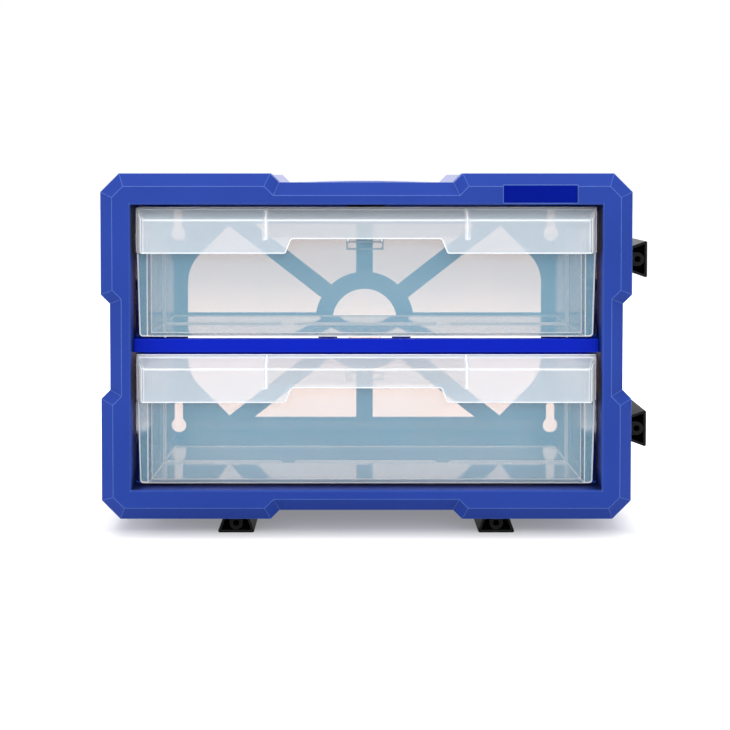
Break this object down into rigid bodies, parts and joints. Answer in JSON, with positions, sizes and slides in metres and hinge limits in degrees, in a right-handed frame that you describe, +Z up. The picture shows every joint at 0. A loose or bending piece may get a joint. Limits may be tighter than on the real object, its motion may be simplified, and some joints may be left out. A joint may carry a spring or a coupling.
{
  "type": "small parts drawer cabinet",
  "caption": "Small parts cabinet with see-through pull-out drawers in a bevelled, notched frame, a lattice back with keyholes, and dovetail keys that join one cabinet to the next.",
  "frame": {"origin": "middle of the overall outline at the level it stands on, the undersides of the two bottom keys; the front frame's face is at y = -0.08 and the back at y = 0.08", "axes": "+Z up, -Y out of the drawers' front, +X to the right as seen from the front, the side with the keys"},
  "size_m": [0.332, 0.16, 0.2209],
  "materials": {
    "blue_plastic": "moulded, satin",
    "label_blue": "smooth, bare",
    "clear_plastic": "clear, faintly hazy",
    "frosted_plastic": "frosted, half see-through",
    "black_plastic": "moulded, satin",
    "screw_steel": "zinc plated"
  },
  "bodies": {
    "cabinet": {"front_frame": "blue_plastic", "label_plate": "label_blue", "middle_rail": "blue_plastic", "top_panel": "blue_plastic", "bottom_panel": "blue_plastic", "left_panel": "blue_plastic", "right_panel": "blue_plastic", "back_panel": "blue_plastic", "back_panel_screws": "screw_steel", "upper_left_runner": "blue_plastic", "upper_right_runner": "blue_plastic", "lower_left_runner": "blue_plastic", "lower_right_runner": "blue_plastic", "connector_right_upper": "black_plastic", "connector_right_lower": "black_plastic", "connector_bottom_left": "black_plastic", "connector_bottom_right": "black_plastic"},
    "upper_drawer": {"upper_drawer_tray": "clear_plastic", "upper_drawer_pull": "frosted_plastic"},
    "lower_drawer": {"lower_drawer_tray": "clear_plastic", "lower_drawer_pull": "frosted_plastic"}
  },
  "joints": [
    {"name": "upper_drawer_slide", "type": "slide", "parent": "cabinet", "child": "upper_drawer", "axis": [0, -1, 0], "range_m": [0, 0.098]},
    {"name": "lower_drawer_slide", "type": "slide", "parent": "cabinet", "child": "lower_drawer", "axis": [0, -1, 0], "range_m": [0, 0.098]}
  ]
}
